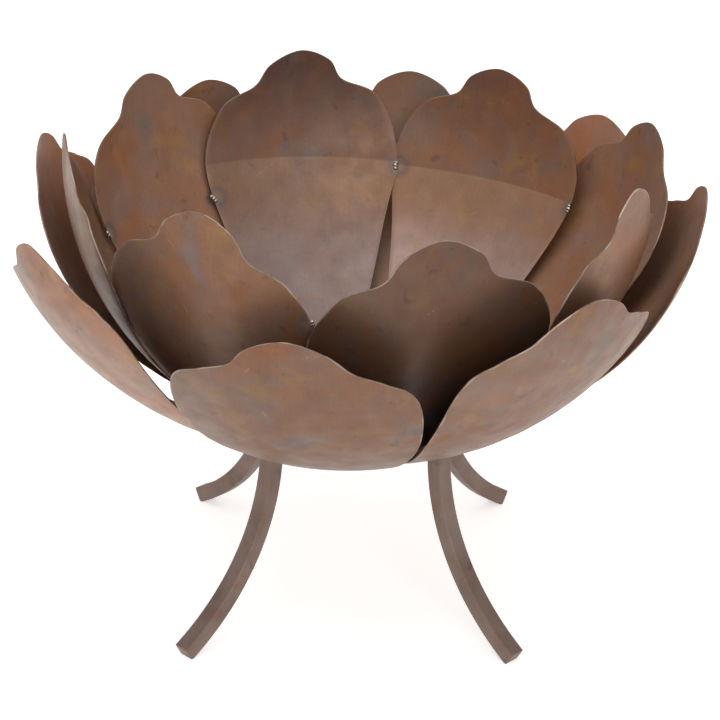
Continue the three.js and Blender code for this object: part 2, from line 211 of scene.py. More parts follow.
def object_mode():
    bpy.ops.object.mode_set(mode="OBJECT")


def place(matrix):
    """Puts the active piece's mesh in its place, with its object left at the origin."""
    piece().data.transform(matrix)
    piece().data.update()


def copy_piece(source):
    """Another copy of a modelled piece, with its own mesh, as the active piece."""
    made = source.copy()
    made.data = source.data.copy()
    bpy.context.scene.collection.objects.link(made)
    bpy.context.view_layer.objects.active = made
    made.select_set(True)
    return made


def start(add, **settings):
    """Adds a primitive as the only selected piece."""
    bpy.ops.object.select_all(action="DESELECT")
    add(**settings)
    return piece()


def side_turn(azimuth):
    """Turns what is modelled along +X about the bowl's middle, to an azimuth."""
    return Matrix.Translation(HUB) @ Matrix.Rotation(math.radians(90 - azimuth), 4, "Z")


# ---- Materials --------------------------------------------------------------------------

def linear(colour):
    """An sRGB hex colour as linear red, green, blue and alpha."""
    channels = [int(colour[i:i + 2], 16) / 255 for i in (1, 3, 5)]
    return [c / 12.92 if c <= 0.04045 else ((c + 0.055) / 1.055) ** 2.4 for c in channels] + [1]


def node(tree, kind, inputs=(), stops=(), **settings):
    """Adds one shader node with its settings, its inputs as values or links, and a ramp's stops."""
    made = tree.nodes.new("ShaderNode" + kind)
    for key, value in settings.items():
        setattr(made, key, value)
    for key, value in dict(inputs).items():
        if isinstance(value, bpy.types.NodeSocket):
            tree.links.new(value, made.inputs[key])
        else:
            made.inputs[key].default_value = value
    if stops:
        elements = made.color_ramp.elements
        elements.remove(elements[1])
        elements[0].position = stops[0][0]
        elements[0].color = linear(stops[0][1])
        for at, colour in stops[1:]:
            elements.new(at).color = linear(colour)
    return made


def new_material(name):
    material = bpy.data.materials.new(name)
    material.use_nodes = True
    material.node_tree.nodes.clear()
    return material, material.node_tree


def per_metre(millimetres):
    """A pattern's scale, from the size that one of its features has."""
    return 1000 / millimetres


def cloud(tree, where, size, low, high, most=1.0, offset=0.0, detail=4.0, distortion=0.4):
    """Soft-edged patches of about one size in millimetres: 0 outside them, and `most` inside."""
    moved = node(tree, "Mapping", {"Vector": where, "Location": (offset, -offset, offset / 2)}).outputs[0]
    inputs = {"Vector": moved, "Scale": per_metre(size), "Detail": detail, "Distortion": distortion}
    noise_value = node(tree, "TexNoise", inputs).outputs[0]
    limits = {0: noise_value, 1: low, 2: high, 4: most}
    return node(tree, "MapRange", limits, interpolation_type="SMOOTHSTEP").outputs[0]


def stain(tree, where, under, over, *patches, **settings):
    """Lays patches of one colour over what is there, with the patches' sizes as cloud takes them."""
    share = cloud(tree, where, *patches, **settings)
    return node(tree, "Mix", {0: share, 6: under, 7: linear(over)}, data_type="RGBA").outputs[2]


WELD_PLACES = []      # filled below, once the petals' seams are worked out


def heat_rings(tree, where, grit):
    """How far the nearest weld is, as 0 at the bead to 1 at 20 mm, with a slightly uneven edge."""
    nearest = node(tree, "VectorMath", {0: where, 1: WELD_PLACES[0]}, operation="DISTANCE").outputs["Value"]
    for place_of_weld in WELD_PLACES[1:]:
        reach = node(tree, "VectorMath", {0: where, 1: place_of_weld}, operation="DISTANCE").outputs["Value"]
        nearest = node(tree, "Math", {0: nearest, 1: reach}, operation="MINIMUM").outputs[0]
    wobble = node(tree, "MapRange", {0: grit, 3: -1.5 * MM, 4: 1.5 * MM}).outputs[0]
    uneven = node(tree, "Math", {0: nearest, 1: wobble}, operation="ADD").outputs[0]
    return node(tree, "MapRange", {0: uneven, 2: 20 * MM}).outputs[0]


def petal_steel():
    """Mild steel sheet, cold rolled, rusted and waxed: a satin brown skin with grey, orange and ochre
    clouds in it, faint rolling streaks up the petal, bare scratches, and blued rings round the welds.
    On top of these lies painted light and shade: a scale on each petal's colour, a paler, greyer skin
    below the creases, and painted shade at the feet of the two front inner petals."""
    material, tree = new_material("waxed_rusted_sheet_steel")
    where = node(tree, "TexCoord").outputs["Object"]
    sheet = node(tree, "UVMap", uv_map="sheet").outputs[0]
    rim = node(tree, "Attribute", attribute_name="rim").outputs["Fac"]
    crease = node(tree, "Attribute", attribute_name="crease").outputs["Fac"]
    # Painted light and shade: each petal's own scale on its colour
    painted_light_tone = node(tree, "Attribute", attribute_name="painted_light_tone").outputs["Fac"]
    worn = node(tree, "Attribute", attribute_name="worn").outputs["Fac"]
    # Smoke on some tips, and painted shade at the feet of the two front inner petals
    smoke_and_shade = node(tree, "Attribute", attribute_name="smoke_and_shade").outputs["Fac"]

    # Clouds of oxide, from the largest to the smallest
    colour = stain(tree, where, linear("#815a43"), "#856959", 150, 0.36, 0.66, detail=3.0)
    colour = stain(tree, where, colour, "#8c5631", 60, 0.5, 0.72, 0.5, offset=3.1)
    colour = stain(tree, where, colour, "#6c6765", 75, 0.54, 0.74, 0.6, offset=7.7)
    colour = stain(tree, where, colour, "#92703f", 34, 0.54, 0.72, 0.45, offset=12.4)
    colour = stain(tree, where, colour, "#6b6564", 24, 0.5, 0.7, 0.3, offset=18.5)
    colour = stain(tree, where, colour, "#5a4640", 14, 0.62, 0.72, 0.45, offset=15.2)

    # Smoke has greyed some tips; the foot of the two front inner petals is darkened as painted shade, for
    # the gap between them and the outer petals. Both lie in smudges longer up the sheet
    smears = node(tree, "Mapping", {"Vector": sheet, "Scale": (per_metre(24), per_metre(40), 1)}).outputs[0]
    smoke_and_shade_share = node(tree, "TexNoise", {"Vector": smears, "Scale": 1.0, "Detail": 4.0,
                                    "Distortion": 0.6}).outputs[0]
    smoke_and_shade_share = node(tree, "MapRange", {0: smoke_and_shade_share, 1: 0.3, 2: 0.62, 3: 0.2},
                 interpolation_type="SMOOTHSTEP").outputs[0]
    smoke_and_shade_share = node(tree, "Math", {0: smoke_and_shade_share, 1: smoke_and_shade}, operation="MULTIPLY").outputs[0]
    colour = node(tree, "Mix", {0: smoke_and_shade_share, 6: colour, 7: linear("#54464b")}, data_type="RGBA").outputs[2]

    # Painted light: below a crease the sheet is painted paler than above it, for the light that its less
    # steep lower part catches, and greyer towards the foot
    lit_below = node(tree, "MapRange", {0: crease, 1: -0.8, 2: 0.8, 3: 0.42, 4: 0.0}).outputs[0]
    near = node(tree, "MapRange", {0: crease, 1: -105.0, 2: -40.0}).outputs[0]
    lit_colour = node(tree, "Mix", {0: near, 6: linear("#968a8b"), 7: linear("#907058")},
                        data_type="RGBA").outputs[2]
    colour = node(tree, "Mix", {0: lit_below, 6: colour, 7: lit_colour}, data_type="RGBA").outputs[2]

    # Rolling streaks run up the sheet, 2 mm across and 80 mm long, over grit of 2.5 mm: the real grit is
    # finer, and is drawn as coarse as it needs to show
    stretched = node(tree, "Mapping", {"Vector": sheet, "Scale": (per_metre(2), per_metre(80), 1)}).outputs[0]
    streaks = node(tree, "TexNoise", {"Vector": stretched, "Scale": 1.0, "Detail": 3.0}).outputs[0]
    streak_shade = node(tree, "MapRange", {0: streaks, 1: 0.3, 2: 0.7, 3: 0.97, 4: 1.03}).outputs[0]
    grit = node(tree, "TexNoise", {"Vector": where, "Scale": per_metre(2.5), "Detail": 5.0}).outputs[0]
    grit_shade = node(tree, "MapRange", {0: grit, 1: 0.3, 2: 0.7, 3: 0.95, 4: 1.05}).outputs[0]
    blotch = node(tree, "TexNoise", {"Vector": where, "Scale": per_metre(22), "Detail": 4.0}).outputs[0]
    blotch_shade = node(tree, "MapRange", {0: blotch, 1: 0.3, 2: 0.7, 3: 0.93, 4: 1.07}).outputs[0]
    shade = node(tree, "Math", {0: streak_shade, 1: grit_shade}, operation="MULTIPLY").outputs[0]
    shade = node(tree, "Math", {0: shade, 1: blotch_shade}, operation="MULTIPLY").outputs[0]
    # Each petal's colour is scaled by its tone, which is painted light and shade, not a colour of the steel
    shade = node(tree, "Math", {0: shade, 1: painted_light_tone}, operation="MULTIPLY").outputs[0]
    colour = node(tree, "VectorMath", {0: colour, 3: shade}, operation="SCALE").outputs[0]

    # A weld blues the steel in a ring, and burns the rust off inside it
    heat = heat_rings(tree, where, grit)
    temper = ((0.0, "#8c8078"), (0.3, "#7d695c"), (0.5, "#5c5a5e"), (0.66, "#6d625f"), (0.85, "#7c5b48"))
    ring_colour = node(tree, "ValToRGB", {0: heat}, stops=temper).outputs[0]
    ring_share = node(tree, "MapRange", {0: heat, 1: 0.5, 2: 0.85, 3: 0.55, 4: 0.0}).outputs[0]
    colour = node(tree, "Mix", {0: ring_share, 6: colour, 7: ring_colour}, data_type="RGBA").outputs[2]

    # Bare metal where the rim has been rubbed, and a few scratches
    rubbing = cloud(tree, where, 26, 0.4, 0.62, 2.0, offset=30.0)
    rubbing = node(tree, "Math", {0: rubbing, 1: worn}, operation="MULTIPLY").outputs[0]
    depth = node(tree, "Math", {0: rim, 1: rubbing}, operation="SUBTRACT").outputs[0]
    bare = node(tree, "MapRange", {0: depth, 1: -0.8, 2: 0.4, 3: 0.42, 4: 0.0}).outputs[0]
    cells = node(tree, "Mapping", {"Vector": sheet, "Scale": (per_metre(90), per_metre(35), 1),
                                   "Rotation": (0, 0, 0.6)}).outputs[0]
    hairlines = node(tree, "TexVoronoi", {"Vector": cells, "Scale": 1.0},
                     feature="DISTANCE_TO_EDGE").outputs[0]
    fine = node(tree, "MapRange", {0: hairlines, 1: 0.0, 2: 0.006, 3: 1.0, 4: 0.0}).outputs[0]
    rare = cloud(tree, where, 22, 0.62, 0.68, 0.5, offset=21.0)
    scratches = node(tree, "Math", {0: fine, 1: rare}, operation="MULTIPLY").outputs[0]
    bright = node(tree, "Math", {0: bare, 1: scratches}, operation="MAXIMUM").outputs[0]
    colour = node(tree, "Mix", {0: bright, 6: colour, 7: linear("#b7a89b")}, data_type="RGBA").outputs[2]

    gloss = node(tree, "MapRange", {0: blotch, 1: 0.35, 2: 0.65, 3: 0.52, 4: 0.42}).outputs[0]
    pits = node(tree, "Bump", {"Height": grit, "Strength": 0.2, "Distance": 0.06 * MM}).outputs[0]
    waves = node(tree, "TexNoise", {"Vector": where, "Scale": per_metre(55), "Detail": 2.0}).outputs[0]
    dents = node(tree, "Bump", {"Height": waves, "Normal": pits, "Strength": 0.5,
                                "Distance": 1.0 * MM}).outputs[0]
    surface = node(tree, "BsdfPrincipled", {
        "Base Color": colour, "Metallic": 0.45, "Roughness": gloss, "Normal": dents})
    node(tree, "OutputMaterial", {"Surface": surface.outputs[0]})
    return material


def cut_edge_steel():
    """The sheet's sheared edge: browned steel, paler than the skin, and bare where it has been rubbed."""
    material, tree = new_material("sheared_bare_steel")
    where = node(tree, "TexCoord").outputs["Object"]
    worn = node(tree, "Attribute", attribute_name="worn").outputs["Fac"]
    bare = cloud(tree, where, 30, 0.4, 0.62, offset=30.0)
    bare = node(tree, "Math", {0: bare, 1: worn}, operation="MULTIPLY").outputs[0]
    brown = stain(tree, where, linear("#846858"), "#6a5040", 12, 0.4, 0.6)
    colour = node(tree, "Mix", {0: bare, 6: brown, 7: linear("#b8aa9d")}, data_type="RGBA").outputs[2]
    surface = node(tree, "BsdfPrincipled", {"Base Color": colour, "Metallic": 0.6, "Roughness": 0.42})
    node(tree, "OutputMaterial", {"Surface": surface.outputs[0]})
    return material


def plain_rusted_steel():
    """The dish and the ash pan: the same sheet with its oxide, without a petal's rolling and wear."""
    material, tree = new_material("rusted_pressed_steel")
    where = node(tree, "TexCoord").outputs["Object"]
    colour = stain(tree, where, linear("#76523e"), "#6f5c53", 60, 0.4, 0.65)
    colour = stain(tree, where, colour, "#85502e", 25, 0.52, 0.7, 0.6, offset=6.0)
    grit = node(tree, "TexNoise", {"Vector": where, "Scale": per_metre(2.5), "Detail": 5.0}).outputs[0]
    shade = node(tree, "MapRange", {0: grit, 1: 0.3, 2: 0.7, 3: 0.9, 4: 1.1}).outputs[0]
    colour = node(tree, "VectorMath", {0: colour, 3: shade}, operation="SCALE").outputs[0]
    pits = node(tree, "Bump", {"Height": grit, "Strength": 0.3, "Distance": 0.1 * MM}).outputs[0]
    gloss = node(tree, "MapRange", {0: grit, 3: 0.5, 4: 0.66}).outputs[0]
    surface = node(tree, "BsdfPrincipled", {
        "Base Color": colour, "Metallic": 0.45, "Roughness": gloss, "Normal": pits})
    node(tree, "OutputMaterial", {"Surface": surface.outputs[0]})
    return material


def leg_steel():
    """Hot-rolled square tube with the same rust and wax, greyer and more even than the sheet."""
    material, tree = new_material("waxed_rusted_tube_steel")
    where = node(tree, "TexCoord").outputs["Object"]
    colour = stain(tree, where, linear("#6e5a50"), "#7a685e", 60, 0.4, 0.65)
    colour = stain(tree, where, colour, "#7a4e38", 18, 0.55, 0.72, 0.5, offset=4.0, detail=6.0)
    colour = stain(tree, where, colour, "#4c403c", 30, 0.56, 0.72, 0.5, offset=9.0)
    grit = node(tree, "TexNoise", {"Vector": where, "Scale": per_metre(2), "Detail": 5.0}).outputs[0]
    shade = node(tree, "MapRange", {0: grit, 1: 0.3, 2: 0.7, 3: 0.92, 4: 1.08}).outputs[0]
    colour = node(tree, "VectorMath", {0: colour, 3: shade}, operation="SCALE").outputs[0]
    pits = node(tree, "Bump", {"Height": grit, "Strength": 0.35, "Distance": 0.1 * MM}).outputs[0]
    gloss = node(tree, "MapRange", {0: grit, 3: 0.42, 4: 0.58}).outputs[0]
    surface = node(tree, "BsdfPrincipled", {
        "Base Color": colour, "Metallic": 0.5, "Roughness": gloss, "Normal": pits})
    node(tree, "OutputMaterial", {"Surface": surface.outputs[0]})
    return material


def grate_steel():
    """Black steel rod that fire has scaled: near black, dull, with rust coming through in crumbs."""
    material, tree = new_material("fire_scaled_rod_steel")
    where = node(tree, "TexCoord").outputs["Object"]
    crumbs = cloud(tree, where, 5, 0.5, 0.66, detail=8.0)
    colour = node(tree, "Mix", {0: crumbs, 6: linear("#2b2725"), 7: linear("#5b3b2a")},
                  data_type="RGBA").outputs[2]
    colour = stain(tree, where, colour, "#77706a", 30, 0.55, 0.75, 0.4, offset=5.0)
    grit = node(tree, "TexNoise", {"Vector": where, "Scale": per_metre(1.5), "Detail": 6.0}).outputs[0]
    pits = node(tree, "Bump", {"Height": grit, "Strength": 0.6, "Distance": 0.25 * MM}).outputs[0]
    gloss = node(tree, "MapRange", {0: crumbs, 3: 0.55, 4: 0.85}).outputs[0]
    surface = node(tree, "BsdfPrincipled", {
        "Base Color": colour, "Metallic": 0.6, "Roughness": gloss, "Normal": pits})
    node(tree, "OutputMaterial", {"Surface": surface.outputs[0]})
    return material


def zinc_steel():
    """Zinc-plated steel, dulled by heat: a grey satin with faint cloudy spangle."""
    material, tree = new_material("dulled_zinc_plate")
    where = node(tree, "TexCoord").outputs["Object"]
    spangle = node(tree, "TexVoronoi", {"Vector": where, "Scale": per_metre(1.5)}).outputs["Color"]
    grey = node(tree, "SeparateColor", {0: spangle}).outputs[0]
    colour = node(tree, "Mix", {0: grey, 6: linear("#84857f"), 7: linear("#a7a7a2")},
                  data_type="RGBA").outputs[2]
    gloss = node(tree, "MapRange", {0: grey, 3: 0.32, 4: 0.5}).outputs[0]
    surface = node(tree, "BsdfPrincipled", {"Base Color": colour, "Metallic": 0.95, "Roughness": gloss})
    node(tree, "OutputMaterial", {"Surface": surface.outputs[0]})
    return material


def weld_metal():
    """Weld metal as it froze: bright grey with a straw and blue oxide tint in the ripples."""
    material, tree = new_material("bare_weld_metal")
    where = node(tree, "TexCoord").outputs["Object"]
    tint = node(tree, "TexNoise", {"Vector": where, "Scale": per_metre(3), "Detail": 4.0}).outputs[0]
    colour = node(tree, "ValToRGB", {0: tint}, stops=(
        (0.35, "#8d8b8c"), (0.5, "#c4beb4"), (0.65, "#9a8871"))).outputs[0]
    grit = node(tree, "TexNoise", {"Vector": where, "Scale": per_metre(0.8), "Detail": 4.0}).outputs[0]
    pits = node(tree, "Bump", {"Height": grit, "Strength": 0.4, "Distance": 0.1 * MM}).outputs[0]
    surface = node(tree, "BsdfPrincipled", {
        "Base Color": colour, "Metallic": 0.9, "Roughness": 0.34, "Normal": pits})
    node(tree, "OutputMaterial", {"Surface": surface.outputs[0]})
    return material


# ---- Petals -----------------------------------------------------------------------------

def smooth_edge(pattern, steps):
    """The pattern's smooth edge from foot to tip, as points (distance up, half-width): a centripetal
    Catmull-Rom curve through the pattern and its mirror image, up to the tip."""
    left = [Vector(point) for point in pattern]
    points = left + [Vector((up, -half)) for up, half in reversed(pattern[:-1])]
    points = [2 * points[0] - points[1]] + points
    edge = []
    for span in range(len(pattern) - 1):
        before, near, far, after = points[span:span + 4]
        gaps = [(b - a).length ** 0.5 for a, b in ((before, near), (near, far), (far, after))]
        leaving = ((near - before) / gaps[0] - (far - before) / (gaps[0] + gaps[1])
                   + (far - near) / gaps[1]) * gaps[1]
        arriving = ((far - near) / gaps[1] - (after - near) / (gaps[1] + gaps[2])
                    + (after - far) / gaps[2]) * gaps[1]
        for step in range(steps):
            t = step / steps
            edge.append(near + leaving * t + (3 * (far - near) - 2 * leaving - arriving) * t ** 2
                        + (2 * (near - far) + leaving + arriving) * t ** 3)
    return edge + [left[-1]]


def half_width(pattern, up):
    """The pattern's half-width at a distance up from the foot."""
    edge = smooth_edge(pattern, 8)
    above = next(k for k, point in enumerate(edge) if point[0] > up)
    (near_up, near_half), (far_up, far_half) = edge[above - 1], edge[above]
    return near_half + (far_half - near_half) * (up - near_up) / (far_up - near_up)


def middle_line(ring, petal):
    """The petal's middle line: distance from the axis, height and slope at any distance up."""
    steps = 160
    length = ring["length"] * petal["long"]
    foot, first, second, third = ring["slope"]
    line = []
    for k in range(steps + 1):
        x = k / steps
        lean = petal["lean"] * math.sin(min(x / 0.2, 1) * math.pi / 2)
        slope = math.radians(foot + lean + (first + petal["curl"]) * x + second * x ** 2 + third * x ** 3)
        if line:
            r, z, last = line[-1]
            r += (math.cos(last) + math.cos(slope)) / 2 * length / steps
            z += (math.sin(last) + math.sin(slope)) / 2 * length / steps
            line.append((r, z, slope))
        else:
            line.append((ring["foot_radius"], ring["foot_height"], slope))

    def at(up):
        k = min(max(up / length * steps, 0), steps - 1e-6)
        share = k - int(k)
        return [a + (b - a) * share for a, b in zip(line[int(k)], line[int(k) + 1])]

    return at


def petal_point(ring, petal, line, up, across, out=0.0):
    """A point on the petal's sheet, in metres: up from the foot, across from the middle line, and out
    from the sheet's middle, away from the fire."""
    r, z, slope = line(up)
    share = up / (ring["length"] * petal["long"])
    cup, first, second = ring["cup"]
    radius = (cup + first * share + second * share ** 2) * petal["cup"]
    outside = radius + petal["layer"] * LAYER + out
    rise = radius - outside * math.cos(across / radius)
    side = outside * math.sin(across / radius) + up * math.tan(math.radians(petal["sway"]))
    distance = r - math.sin(slope) * rise
    turn = math.radians(petal["azimuth"])
    return HUB + MM * Vector((
        distance * math.sin(turn) + side * math.cos(turn),
        distance * math.cos(turn) - side * math.sin(turn),
        z + math.cos(slope) * rise,
    ))


def notch_fill(ring, petal, up, share):
    """How much wider than the pattern a petal is, near the notch on one side of its middle line."""
    beyond = (up / ring["length"] - NOTCH_AT) / NOTCH_REACH
    return 1 + (petal["left"] if share < 0 else petal["right"]) * math.exp(-beyond ** 2)


def crease_line(crease, share):
    """How far up a crease is, from its places on the left edge, at the middle and on the right edge."""
    left, middle, right = crease
    return middle + (right - left) / 2 * share + ((left + right) / 2 - middle) * share ** 2


PETAL_MARKS = ("rim", "crease", "painted_light_tone", "worn", "smoke_and_shade")     # what the skin reads at each vertex


def make_petal(ring, petal, number, seed, crease=None):
    """A blank of sheet, cut to the pattern and rolled to the petal's two curves by a formula, because no
    hand tool rolls a sheet on two radii. Its edges keep the waver of hand shears."""
    steps, columns = 9, 30
    edge = smooth_edge(ring["pattern"], steps)
    line = middle_line(ring, petal)
    rows = len(edge) - 1
    start(bpy.ops.mesh.primitive_grid_add, x_subdivisions=rows, y_subdivisions=columns, size=1)
    mesh = piece().data
    mesh.uv_layers[0].name = "sheet"
    for name in PETAL_MARKS:
        mesh.attributes.new(name, "FLOAT", "POINT")
    marks = {name: mesh.attributes[name].data for name in PETAL_MARKS}
    uv = mesh.uv_layers["sheet"].data
    length = ring["length"] * petal["long"]
    creased_row = min(range(rows), key=lambda row: abs(edge[row][0] - crease[1])) if crease else None
    flat = {}
    row_of = {}
    for vertex in mesh.vertices:
        row = round((vertex.co.x + 0.5) * rows)
        share = 2 * vertex.co.y
        up, half = edge[row]
        half = max(half, 2) * petal["wide"] * notch_fill(ring, petal, up, share)
        above_crease = 100.0
        bulge = 0.0
        if crease:
            bend = crease_line(crease, share)
            up += (bend - edge[creased_row][0]) * math.exp(-((up - edge[creased_row][0]) / CREASE_PULL) ** 2)
            above_crease = up - bend
            bulge = CREASE_BULGE * math.exp(-abs(above_crease) / BULGE_REACH)
        up *= petal["long"]
        across = half * share
        flat[vertex.index] = (across * MM, up * MM)
        row_of[vertex.index] = row
        waver = noise.noise(Vector((up / WAVER_LENGTH, across / WAVER_LENGTH, seed)))
        waver *= SHEET_WAVER * max(0, up / length - 0.35)
        vertex.co = petal_point(ring, petal, line, up, across, waver + bulge)
        marks["rim"][vertex.index].value = min(half - abs(across), length - up)
        marks["crease"][vertex.index].value = above_crease
        # Painted light and shade: the petal's scale on its colour
        marks["painted_light_tone"][vertex.index].value = petal["painted_light_tone"]
        marks["worn"][vertex.index].value = petal["worn"]
        smoky = SMOKED_TIPS.get(number, 0) * max(0, (up / length - 0.7) / 0.2)
        # Painted shade: the feet of the two front inner petals are darkened for the gap to the outer petals
        shaded_foot = SHADED_FEET.get(number, 0) * max(0, (0.66 - up / length) / 0.22)
        marks["smoke_and_shade"][vertex.index].value = min(1, smoky + shaded_foot) if ring is INNER else 0
    for loop in mesh.loops:
        uv[loop.index].uv = flat[loop.vertex_index]
    if crease:
        for side in mesh.edges:
            side.use_edge_sharp = all(row_of[i] == creased_row for i in side.vertices)
    mesh.update()
    on_sheet = petal_point(ring, petal, line, 200, 0)
    middle = min(mesh.polygons, key=lambda face: (face.center - on_sheet).length)
    if middle.normal.dot(petal_point(ring, petal, line, 200, 0, 10) - on_sheet) < 0:
        mesh.flip_normals()
    mesh.materials.append(MATERIALS["petal"])
    mesh.materials.append(MATERIALS["edge"])
    modify("SOLIDIFY", thickness=SHEET * MM, offset=0, use_even_offset=True, material_offset_rim=1)
    modify("BEVEL", width=0.3 * MM, segments=2, limit_method="ANGLE", angle_limit=math.radians(60),
           harden_normals=False)
    bpy.ops.object.shade_smooth_by_angle(angle=math.radians(50))
    kind = "inner_petal" if ring is INNER else "outer_petal"
    return name_piece(f"{kind}_sheet_{number}", BOWL, "petal_steel", f"{kind}_{number}")


# ---- Welds on the seams -----------------------------------------------------------------

def weld_seat(number):
    """The place of a seam's weld on the front petal's edge: Y runs up the seam, Z towards the fire."""
    petal = inner[number - 1]
    following = inner[number % len(inner)]
    front, side = (petal, 1) if petal["layer"] < following["layer"] else (following, -1)
    line = middle_line(INNER, front)

    def on_seam(up, out):
        across = side * half_width(INNER["pattern"], up) * front["wide"]
        return petal_point(INNER, front, line, up * front["long"], across, out)

    up = WELDS[number - 1]
    seat = on_seam(up, -SHEET / 2)
    along = (on_seam(up + 5, 0) - on_seam(up - 5, 0)).normalized()
    towards_fire = (on_seam(up, -5) - on_seam(up, 0)).normalized()
    sideways = along.cross(towards_fire).normalized()
    towards_fire = sideways.cross(along)
    return Matrix.Translation(seat) @ Matrix((sideways, along, towards_fire)).transposed().to_4x4()


def make_weld_bead():
    """Three overlapping blobs of weld metal along Y, fused into one bead, low where they meet."""
    start(bpy.ops.mesh.primitive_uv_sphere_add, segments=24, ring_count=16, radius=2.3 * MM)
    bpy.ops.object.mode_set(mode="EDIT")
    for along, radius in ((-3.4, 1.9), (3.2, 2.1)):
        bpy.ops.mesh.primitive_uv_sphere_add(segments=24, ring_count=16, radius=radius * MM,
                                             location=(0.4 * MM, along * MM, 0))
    bpy.ops.mesh.select_all(action="SELECT")
    bpy.ops.transform.resize(value=(1.25, 1, 0.85))
    object_mode()
    modify("REMESH", mode="VOXEL", voxel_size=0.35 * MM, use_smooth_shade=True)
    modify("SMOOTH", factor=0.5, iterations=3)
    piece().data.materials.append(MATERIALS["weld"])
    return name_piece("weld_bead_1", BOWL, "weld_metal", "weld_1")


# ---- Dish and ash pan -------------------------------------------------------------------

def make_dish(size, rim_top, name, node_name):
    """A pressed dish: a flat disc, its rim drawn up into a cone, then given its thickness."""
    rise = (size["rim_radius"] - size["flat_radius"]) * math.tan(math.radians(size["slope"]))
    start(bpy.ops.mesh.primitive_circle_add, vertices=96, radius=size["flat_radius"] * MM, fill_type="NGON")
    pick("FACE", lambda middle, normal: True)
    bpy.ops.mesh.inset(thickness=20 * MM)
    object_mode()
    pick("VERT", lambda spot, normal: spot.length > (size["flat_radius"] - 1) * MM)
    bpy.ops.mesh.extrude_region_move(TRANSFORM_OT_translate={"value": (0, 0, rise * MM)})
    wider = size["rim_radius"] / size["flat_radius"]
    bpy.ops.transform.resize(value=(wider, wider, 1))
    bpy.ops.mesh.select_all(action="SELECT")
    bpy.ops.mesh.normals_make_consistent(inside=False)
    object_mode()
    if max(piece().data.polygons, key=lambda face: face.area).normal.z < 0:
        piece().data.flip_normals()
    place(Matrix.Translation(HUB + Vector((0, 0, (rim_top - rise) * MM))))
    modify("SOLIDIFY", thickness=size["thickness"] * MM, offset=-1, use_even_offset=True)
    modify("BEVEL", width=0.5 * MM, segments=2, limit_method="ANGLE", angle_limit=math.radians(60))
    bpy.ops.object.shade_smooth_by_angle(angle=math.radians(40))
    piece().data.materials.append(MATERIALS["pressed"])
    return name_piece(name, BOWL, "petal_steel", node_name)


# ---- Legs, straps and their fasteners -----------------------------------------------------

def strap_top(r):
    """The height of a strap's top face at a distance from the axis."""
    to_dish, to_petals = (math.tan(math.radians(slope)) for slope in STRAP_SLOPES)
    first, second = (max(r - bend, 0) for bend in STRAP_BENDS)
    return STRAP_TOP + first * to_dish + second * (to_petals - to_dish)


def make_leg_bar():
    """The skin of one length of square tube, rounded at its corners, closed at the foot and bent on the
    roller, along +X from the axis, with the middle of its foot at the origin."""
    bpy.ops.object.select_all(action="DESELECT")
    bpy.ops.curve.primitive_bezier_curve_add()
    route = piece()
    route.data.dimensions = "2D"
    route.data.resolution_u = 64
    top, foot = route.data.splines[0].bezier_points
    for point, middle, before, after in ((top, LEG_TOP, LEG_TOP, LEG_KNEE[0]),
                                         (foot, LEG_FOOT, LEG_KNEE[1], LEG_FOOT)):
        point.handle_left_type = "FREE"
        point.handle_right_type = "FREE"
        point.co = Vector((*middle, 0)) * MM
        point.handle_left = Vector((*before, 0)) * MM
        point.handle_right = Vector((*after, 0)) * MM
    length = route.data.splines[0].calc_length()
    start(bpy.ops.mesh.primitive_cube_add, size=1)
    pick("VERT", lambda spot, normal: True)
    bpy.ops.transform.resize(value=(length, TUBE * MM, TUBE * MM))
    bpy.ops.transform.translate(value=(length / 2, 0, 0))
    object_mode()
    pick("FACE", lambda middle, normal: normal.x < -0.9)
    bpy.ops.mesh.delete(type="FACE")
    object_mode()
    pick("EDGE", lambda middle, direction: abs(direction.x) > 0.9)
    bpy.ops.mesh.bevel(offset=TUBE_CORNER * MM, segments=4, affect="EDGES")
    object_mode()
    pick("EDGE", lambda middle, direction: middle.x > length * 0.99 and abs(direction.x) < 0.1)
    bpy.ops.mesh.bevel(offset=0.9 * MM, segments=3, affect="EDGES")
    stations = 48
    for k in range(1, stations):
        bpy.ops.mesh.select_all(action="SELECT")
        bpy.ops.mesh.bisect(plane_co=(length * k / stations, 0, 0), plane_no=(1, 0, 0))
    object_mode()
    modify("CURVE", object=route, deform_axis="POS_X")
    made = piece()
    bpy.data.objects.remove(route)
    bpy.context.view_layer.objects.active = made
    made.select_set(True)
    place(Matrix.Rotation(math.radians(90), 4, "X"))
    place(Matrix.Translation(Vector((-LEG_FOOT[0], 0, -LEG_FOOT[1])) * MM))
    return made


def trim(point, direction, fill):
    """Cuts the active piece by a plane, and takes away what lies on the side it faces."""
    pick("VERT", lambda spot, normal: True)
    bpy.ops.mesh.bisect(plane_co=Vector(point) * MM, plane_no=direction, use_fill=fill, clear_outer=True)
    object_mode()


def make_leg(bar, corner):
    """A copy of the bent bar, tipped, trimmed to the floor and to its strap's slope, and hollowed."""
    leg = dict(zip(LEG_WORDS, LEGS[corner]))
    copy_piece(bar)
    place(Matrix.Rotation(math.radians(leg["lean"]), 4, "Y"))
    place(Matrix.Translation(Vector((LEG_FOOT[0] + leg["reach"], 0, LEG_FOOT[1])) * MM))
    trim((0, 0, 0), (0, 0, -1), fill=True)
    under_strap = strap_top(STRAP_BENDS[1]) - STRAP["thickness"] - GAP
    slope = math.radians(STRAP_SLOPES[1])
    trim((STRAP_BENDS[1], 0, under_strap), (-math.sin(slope), 0, math.cos(slope)), fill=False)
    modify("SOLIDIFY", thickness=TUBE_WALL * MM, offset=-1, use_even_offset=True)
    bpy.ops.object.shade_smooth_by_angle(angle=math.radians(30))
    place(side_turn(leg["azimuth"]))
    piece().data.materials.append(MATERIALS["leg"])
    return name_piece(f"leg_tube_{corner}", BOWL, "leg_steel", f"leg_{corner}")


def leg_top_radius(corner):
    leg = dict(zip(LEG_WORDS, LEGS[corner]))
    return LEG_TOP[0] + leg["reach"] + (LEG_TOP[1] - LEG_FOOT[1]) * math.sin(math.radians(leg["lean"]))


